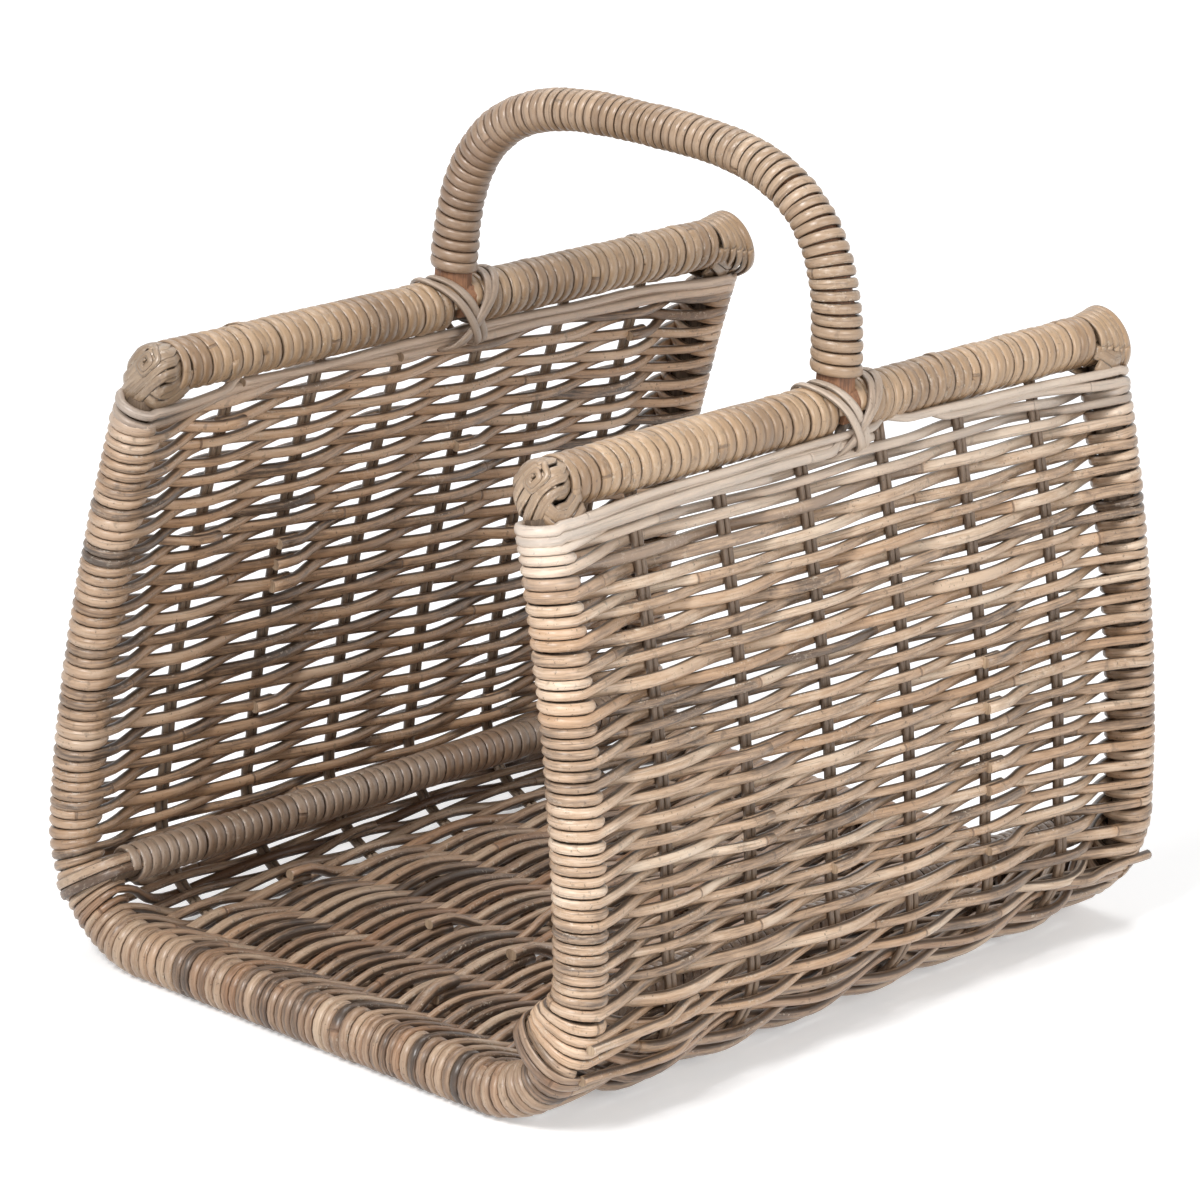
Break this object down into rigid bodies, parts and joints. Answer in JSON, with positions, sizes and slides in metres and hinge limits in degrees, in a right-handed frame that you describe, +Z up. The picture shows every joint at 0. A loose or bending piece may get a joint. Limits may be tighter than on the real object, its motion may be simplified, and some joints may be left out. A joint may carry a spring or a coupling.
{
  "type": "trug basket",
  "caption": "Open-ended woven rattan trug with leaning walls, cane-bound side rails and a flattened arched handle between them.",
  "frame": {"origin": "on the ground under the middle of the basket", "axes": "+X to the basket's right as seen from its front opening, +Y from the front opening to the rear opening, +Z up; the handle arches across X over the middle"},
  "size_m": [0.4272, 0.5406, 0.5152],
  "materials": {
    "bare_pole": "bare rattan pole, split core, matt",
    "stake_rod": "thin weathered rattan rod, matt",
    "weathered_rattan": "grey-brown weathered rattan with its skin on, matt to satin",
    "binding_cane": "split cane strip, waxy satin",
    "lashing_cane": "pale grey split cane, matt"
  },
  "bodies": {
    "root": {"front_frame_pole": "bare_pole", "rear_frame_pole": "bare_pole", "left_rail_pole": "bare_pole", "right_rail_pole": "bare_pole", "left_base_bar_pole": "bare_pole", "right_base_bar_pole": "bare_pole", "handle_pole": "bare_pole", "stake_1_front_rod": "stake_rod", "stake_1_rear_rod": "stake_rod", "stake_2_front_rod": "stake_rod", "stake_2_rear_rod": "stake_rod", "stake_3_front_rod": "stake_rod", "stake_3_rear_rod": "stake_rod", "stake_4_front_rod": "stake_rod", "stake_4_rear_rod": "stake_rod", "stake_5_front_rod": "stake_rod", "stake_5_rear_rod": "stake_rod", "stake_6_front_rod": "stake_rod", "stake_6_rear_rod": "stake_rod", "left_wall_weaver": "weathered_rattan", "floor_weaver": "weathered_rattan", "right_wall_weaver": "weathered_rattan", "left_rail_front_binding": "binding_cane", "left_rail_rear_binding": "binding_cane", "right_rail_front_binding": "binding_cane", "right_rail_rear_binding": "binding_cane", "left_base_bar_binding": "binding_cane", "right_base_bar_binding": "binding_cane", "handle_binding": "binding_cane", "left_rail_front_cap": "binding_cane", "left_rail_rear_cap": "binding_cane", "right_rail_front_cap": "binding_cane", "right_rail_rear_cap": "binding_cane", "left_handle_lashing": "lashing_cane", "right_handle_lashing": "lashing_cane"}
  },
  "joints": []
}
